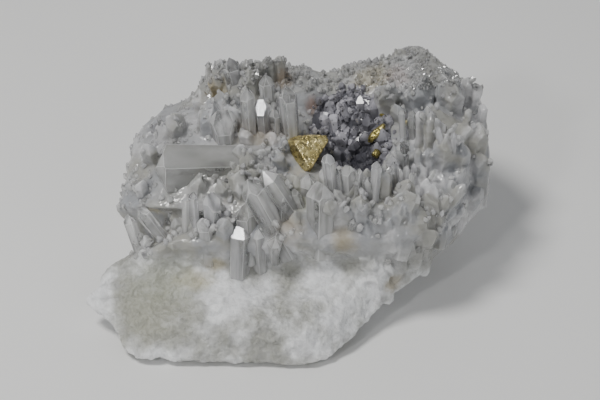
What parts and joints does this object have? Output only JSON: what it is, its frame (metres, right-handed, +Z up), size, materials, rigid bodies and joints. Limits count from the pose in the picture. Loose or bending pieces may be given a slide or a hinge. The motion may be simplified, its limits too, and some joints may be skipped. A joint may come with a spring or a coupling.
{
  "type": "quartz cluster with chalcopyrite",
  "caption": "Cabinet mineral specimen: a white vein-quartz slab with prismatic quartz crystals, a dark crusted hollow and brassy chalcopyrite.",
  "frame": {"origin": "a point on the flat broken base, below the middle of the specimen", "axes": "+Z up from the base it rests on, +X to the right and +Y to the back as it is displayed, with its face leaning back"},
  "size_m": [0.136, 0.1103, 0.0694],
  "materials": {
    "milky_quartz": "translucent milky white to clear, glassy crystal faces",
    "grey_quartz": "glassy smoky grey",
    "chalcopyrite": "metallic brassy yellow, striated"
  },
  "bodies": {
    "root": {"quartz": "milky_quartz", "hollow_crust": "grey_quartz", "chalcopyrite_crystal": "chalcopyrite", "chalcopyrite_blade": "chalcopyrite", "chalcopyrite_grain": "chalcopyrite", "chalcopyrite_bead": "chalcopyrite"}
  },
  "joints": []
}
